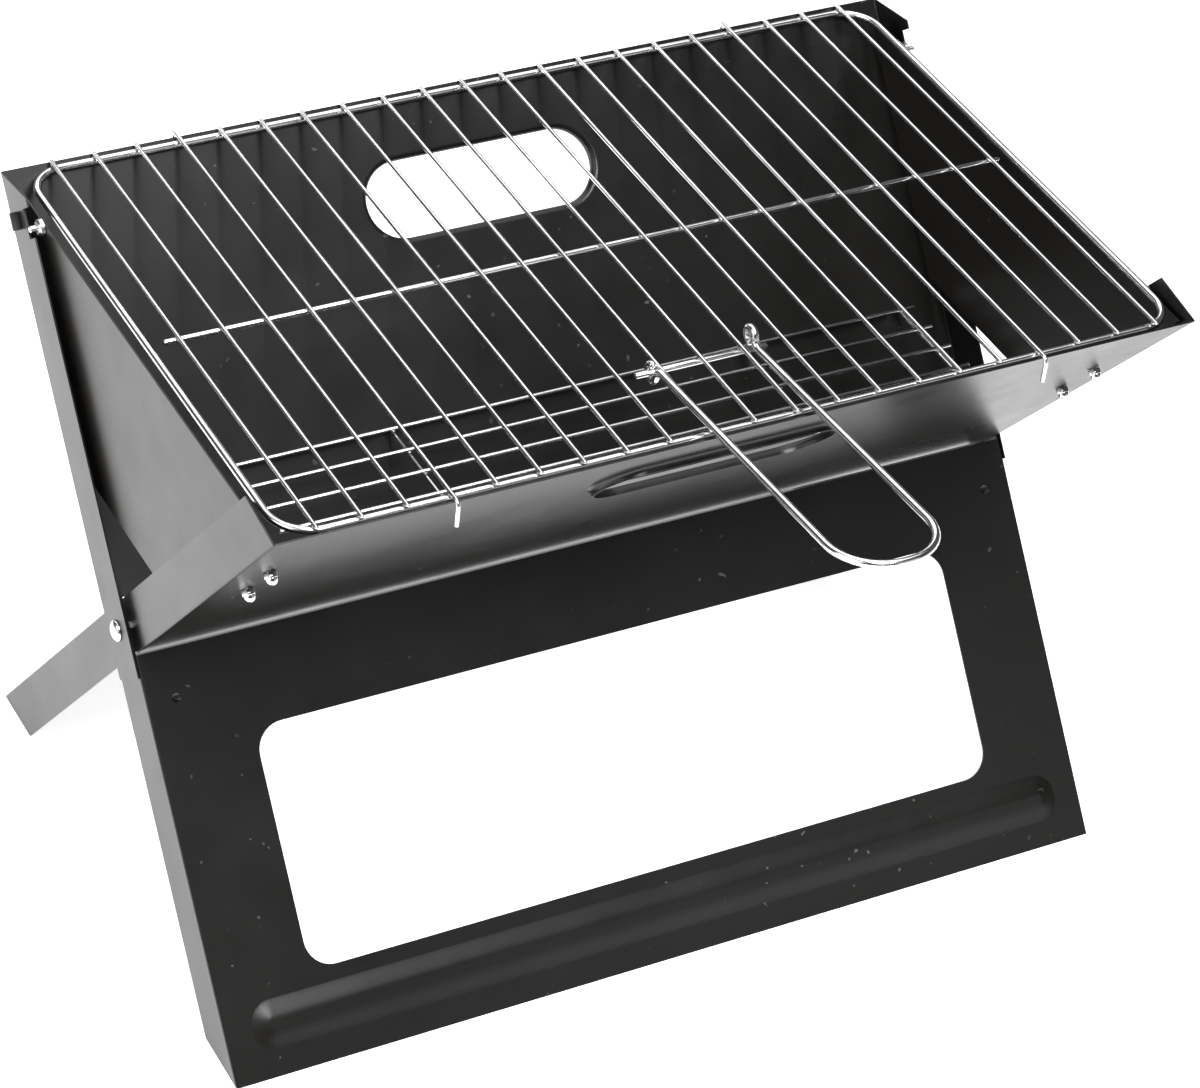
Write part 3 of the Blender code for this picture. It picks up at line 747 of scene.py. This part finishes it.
class GRILL_OT_fasteners(bpy.types.Operator):
    """Builds the hinge bolts with their dome nuts, and the side rivets"""

    bl_idname = "grill.fasteners"
    bl_label = "Fasteners"

    def execute(self, context):
        chrome = plating("polished_nut", (0.9, 0.9, 0.9), 0.12)
        zinc = plating("zinc_fastener", (0.78, 0.78, 0.79), 0.24)
        out = FRONT_FRAME.to_3x3() @ Vector((0, -1, 0))
        for _, side in SIDES:
            for row in ("lower", "upper"):
                dress(f"hinge_bolt_{side}_{row}", zinc)
                self.dome_nut(f"dome_nut_{side}_{row}", out, chrome)
        for sign, side in SIDES:
            dress(f"pivot_washer_{side}", zinc)
            self.rivet(sign, side, zinc)
        return {"FINISHED"}

    def dome_nut(self, node, out, chrome):
        """A hexagon with rounded corners under a dome."""
        centre = middle(node)
        across = reach(node).x
        depths = [(v.co - centre).dot(out) for v in frame["nodes"][node].data.vertices]
        base = centre + out * min(depths)
        height = max(depths) - min(depths)
        hexagon = 2.6 * MM
        bm = bmesh.new()
        turn = Vector((0, 0, 1)).rotation_difference(out).to_matrix().to_4x4()
        ring = bmesh.ops.create_circle(bm, cap_ends=True, segments=6, radius=across / math.cos(math.pi / 6))
        bmesh.ops.rotate(bm, verts=ring["verts"], matrix=Matrix.Rotation(math.pi / 6, 3, "Z"))
        solid = bmesh.ops.extrude_face_region(bm, geom=bm.faces[:])
        bmesh.ops.translate(bm, verts=new_ones(solid, bmesh.types.BMVert), vec=(0, 0, hexagon))
        bmesh.ops.bevel(
            bm,
            geom=bm.edges[:],
            offset=0.35 * MM,
            offset_type="OFFSET",
            segments=2,
            profile=0.5,
            affect="EDGES",
            material=-1,
        )
        bmesh.ops.transform(bm, matrix=Matrix.Translation(base) @ turn, verts=bm.verts)
        dome = []
        for step in range(7):
            angle = math.pi / 2 * step / 6
            dome.append((across * 0.93 * math.sin(angle), hexagon + (height - hexagon) * math.cos(angle)))
        turned(bm, dome + [(across * 0.93, hexagon * 0.5), (0, hexagon * 0.5)], base, out)
        made_piece(f"{node}_cap", outward(bm), [chrome], "front_panel", [node])

    def rivet(self, sign, side, zinc):
        """A domed rivet head outside, the shank and a flat head inside."""
        node = f"pivot_rivet_{side}"
        low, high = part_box(node)
        outer = max(abs(low.x), abs(high.x))
        inner = min(abs(low.x), abs(high.x))
        face = outer - 2.4 * MM
        head = reach(node).z
        profile = [(head * math.sin(a), face + 2.4 * MM * math.cos(a)) for a in self.quarter(8)]
        profile += [(2.5 * MM, face), (2.5 * MM, inner + 1.2 * MM), (4 * MM, inner + 1.2 * MM)]
        profile += [(4 * MM, inner), (0, inner)]
        bm = bmesh.new()
        turned(bm, profile, (0, PIVOT.y, PIVOT.z), (sign, 0, 0), 28)
        made_piece(f"{node}_head", outward(bm), [zinc], "rear_panel", [node])

    def quarter(self, steps):
        return [math.pi / 2 * step / steps for step in range(steps + 1)]


class GRILL_OT_grate(bpy.types.Operator):
    """Builds the cooking grate: rim, bars, cross wire and handle rod, with their welds"""

    bl_idname = "grill.grate"
    bl_label = "Grate"

    def execute(self, context):
        wire = context.scene.grill_wire
        colour = tuple(wire.colour)
        along_y = plating("plated_bars", colour, 0.2, (3.0, 0.2, 3.0))
        along_x = plating("plated_rim", colour, 0.18, (0.2, 1.0, 3.0))
        self.weld = weld_metal()
        self.rim(wire, along_x)
        self.bars(wire, along_y)
        for node in ("grate_cross_wire", "handle_rod"):
            self.straight(node, along_x)
        return {"FINISHED"}

    def rim(self, wire, material):
        low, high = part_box("grate_rim")
        radius = reach("grate_rim").z
        middle_z = (low.z + high.z) / 2
        corner = wire.corner
        runs = (high.x - low.x - 2 * radius - 2 * corner, high.y - low.y - 2 * radius - 2 * corner)
        start = (low.x + radius + corner, low.y + radius, middle_z)
        rod = Wire(start, (1, 0, 0), radius)
        for run in (runs[0], runs[1], runs[0], runs[1]):
            rod.run(run).bend(corner, 90, (0, 0, 1), 10)
        rod.join_ends()
        made_piece("grate_rim_wire", outward(rod.bm), [material], "cooking_grate", ["grate_rim"])

    def bars(self, wire, material):
        rim_low, rim_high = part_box("grate_rim")
        rail_radius = reach("grate_rim").z
        rails = (rim_low.y + rail_radius, rim_high.y - rail_radius)
        for node in sorted(frame["nodes"]):
            if not node.startswith("grate_bar_"):
                continue
            low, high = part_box(node)
            x = (low.x + high.x) / 2
            radius = (high.x - low.x) / 2
            level = high.z - radius
            hooked = high.z - low.z > 4 * radius
            if hooked:
                bend = wire.hook_bend
                down = level - low.z - bend - radius * 0.3
                rod = Wire((x, low.y + radius, low.z + radius * 0.3), (0, 0, 1), radius)
                rod.run(down).bend(bend, -90, (1, 0, 0), 6)
                rod.run(high.y - low.y - 2 * radius - 2 * bend).bend(bend, -90, (1, 0, 0), 6).run(down)
            else:
                trim = radius * 0.57
                rod = Wire((x, low.y + trim, level), (0, 1, 0), radius)
                rod.run(high.y - low.y - 2 * trim)
            rod.ends()
            for y in rails:
                blob(rod.bm, (x, y, level - radius * 0.9), (radius * 1.25, radius * 1.2, radius * 0.62))
            blob(rod.bm, (x, middle("grate_cross_wire").y, level - radius * 0.9), (radius, radius * 1.1, radius * 0.5))
            made_piece(f"{node}_wire", outward(rod.bm), [material, self.weld], "cooking_grate", [node])

    def straight(self, node, material):
        low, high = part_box(node)
        radius = (high.z - low.z) / 2
        trim = radius * 0.57
        rod = Wire((low.x + trim, middle(node).y, middle(node).z), (1, 0, 0), radius)
        rod.run(high.x - low.x - 2 * trim).ends()
        made_piece(f"{node}_bar", outward(rod.bm), [material], "cooking_grate", [node])


class GRILL_OT_handle(bpy.types.Operator):
    """Builds the grate's handle, one wire with an eye curled at each end"""

    bl_idname = "grill.handle"
    bl_label = "Handle"

    def execute(self, context):
        wire = context.scene.grill_wire
        bright = plating("plated_handle", tint(tuple(wire.colour), 1.02), 0.15)
        swing = JOINTS["handle_swing"]
        rod = Vector(swing["pos_m"])
        low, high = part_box("handle")
        radius = 1.75 * MM
        eye = reach("handle_rod").z + 0.35 * MM + radius
        half = (high.x - low.x) / 2 - radius - 0.6 * MM
        tilt = math.asin((high.z - radius - rod.z) / (rod.y - low.y))
        length = (rod.y - low.y - radius) / math.cos(tilt)
        bend = wire.handle_bend
        bent = Wire((-half, 0, eye), (0, 1, 0), radius)
        bent.bend(eye, -265, (1, 0, 0), 16)
        bent.bend(eye * 1.2, 85, (1, 0, 0), 6)
        start = -bent.at.y
        bent.run(length - start - bend).bend(bend, 90, (0, 0, 1), 10)
        bent.run(2 * (half - bend)).bend(bend, 90, (0, 0, 1), 10).run(length - start - bend)
        bent.bend(eye * 1.2, 85, (1, 0, 0), 6)
        bent.bend(eye, -265, (1, 0, 0), 16)
        bent.ends()
        place = Matrix.Translation(rod) @ Matrix.Rotation(-tilt, 4, "X")
        bmesh.ops.transform(bent.bm, matrix=place, verts=bent.bm.verts)
        made_piece("handle_loop", outward(bent.bm), [bright], "grate_handle", ["handle"])
        return {"FINISHED"}


class GRILL_OT_rack(bpy.types.Operator):
    """Builds the loose charcoal rack: long wires welded on short ones"""

    bl_idname = "grill.rack"
    bl_label = "Charcoal rack"

    def execute(self, context):
        colour = tint(tuple(context.scene.grill_wire.colour), 0.86)
        bright = plating("rack_plating", colour, 0.24, (0.3, 1.0, 3.0))
        weld = weld_metal()
        crosses = [middle(node).x for node in sorted(frame["nodes"]) if node.startswith("rack_cross")]
        for node in sorted(frame["nodes"]):
            if not node.startswith("rack_"):
                continue
            low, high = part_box(node)
            radius = (high.z - low.z) / 2
            trim = radius * 0.57
            centre = middle(node)
            if node.startswith("rack_cross"):
                rod = Wire((centre.x, low.y + trim, centre.z), (0, 1, 0), radius)
                rod.run(high.y - low.y - 2 * trim).ends()
            else:
                rod = Wire((low.x + trim, centre.y, centre.z), (1, 0, 0), radius)
                rod.run(high.x - low.x - 2 * trim).ends()
                for x in crosses:
                    blob(rod.bm, (x, centre.y, low.z), (radius * 1.2, radius * 1.1, radius * 0.5))
            made_piece(f"{node}_bar", outward(rod.bm), [bright, weld], "charcoal_rack", [node])
        return {"FINISHED"}


class GRILL_OT_stage(bpy.types.Operator):
    """Sets the floor, the soft lights and the camera"""

    bl_idname = "grill.stage"
    bl_label = "Stage"

    def execute(self, context):
        stage = context.scene.grill_stage
        context.scene.view_settings.view_transform = "Standard"
        bm = bmesh.new()
        bmesh.ops.create_grid(bm, x_segments=1, y_segments=1, size=stage.floor_half)
        mesh = bpy.data.meshes.new("floor")
        bm.to_mesh(mesh)
        bm.free()
        mesh.materials.append(pale_floor(tuple(stage.floor_colour)))
        floor = bpy.data.objects.new("floor", mesh)
        context.scene.collection.objects.link(floor)

        world = bpy.data.worlds.new("studio")
        world.use_nodes = True
        world.node_tree.nodes["Background"].inputs["Color"].default_value = (0.95, 0.97, 1.0, 1.0)
        world.node_tree.nodes["Background"].inputs["Strength"].default_value = 0.08
        context.scene.world = world
        self.light("left_softbox", (-2.6, -0.5, 1.7), 41, 2.6)
        self.light("overhead_softbox", (0.3, 0.4, 3.2), 46, 2.8)
        self.light("front_softbox", (-0.1, -1.45, 2.9), 92, 1.4)
        self.light("back_softbox", (0.2, 2.3, 2.1), 36, 2.6)
        self.light("right_card", (1.2, -2.2, 0.75), 3.2, 1.3)
        self.camera(context, stage)
        return {"FINISHED"}

    def light(self, name, place, watts, size):
        """A square soft light that looks at the grill."""
        data = bpy.data.lights.new(name, "AREA")
        data.energy = watts
        data.size = size
        lamp = bpy.data.objects.new(name, data)
        lamp.location = place
        aim = Vector((0, 0.05, 0.15)) - Vector(place)
        lamp.rotation_euler = aim.to_track_quat("-Z", "Y").to_euler()
        bpy.context.scene.collection.objects.link(lamp)

    def camera(self, context, stage):
        data = bpy.data.cameras.new("camera")
        data.lens = stage.lens
        data.sensor_width = 36.0
        camera = bpy.data.objects.new("camera", data)
        camera.location = (-0.8033, -1.2652, 1.3456)
        camera.rotation_euler = [math.radians(angle) for angle in (51.806, -5.318, -27.688)]
        context.scene.collection.objects.link(camera)
        context.scene.camera = camera


STEPS = (
    GRILL_OT_panels,
    GRILL_OT_wings,
    GRILL_OT_fasteners,
    GRILL_OT_grate,
    GRILL_OT_handle,
    GRILL_OT_rack,
    GRILL_OT_stage,
)


class GRILL_PT_sidebar(bpy.types.Panel):
    """Lists the grill's sizes, colours and build steps"""

    bl_idname = "GRILL_PT_sidebar"
    bl_label = "Camp Grill"
    bl_space_type = "VIEW_3D"
    bl_region_type = "UI"
    bl_category = "Camp Grill"

    def draw(self, context):
        layout = self.layout
        for settings in (context.scene.grill_sheet, context.scene.grill_wire, context.scene.grill_stage):
            box = layout.box()
            for name in settings.__annotations__:
                box.prop(settings, name)
        for step in STEPS:
            layout.operator(step.bl_idname)


SETTINGS = {"grill_sheet": SheetSettings, "grill_wire": WireSettings, "grill_stage": StageSettings}


def register():
    for group in SETTINGS.values():
        bpy.utils.register_class(group)
    for name, group in SETTINGS.items():
        setattr(bpy.types.Scene, name, PointerProperty(type=group))
    for step in STEPS:
        bpy.utils.register_class(step)
    bpy.utils.register_class(GRILL_PT_sidebar)


def unregister():
    bpy.utils.unregister_class(GRILL_PT_sidebar)
    for step in reversed(STEPS):
        bpy.utils.unregister_class(step)
    for name, group in SETTINGS.items():
        delattr(bpy.types.Scene, name)
        bpy.utils.unregister_class(group)


def main():
    register()
    for step in STEPS:
        family, action = step.bl_idname.split(".")
        getattr(getattr(bpy.ops, family), action)()


if __name__ == "__main__":
    main()
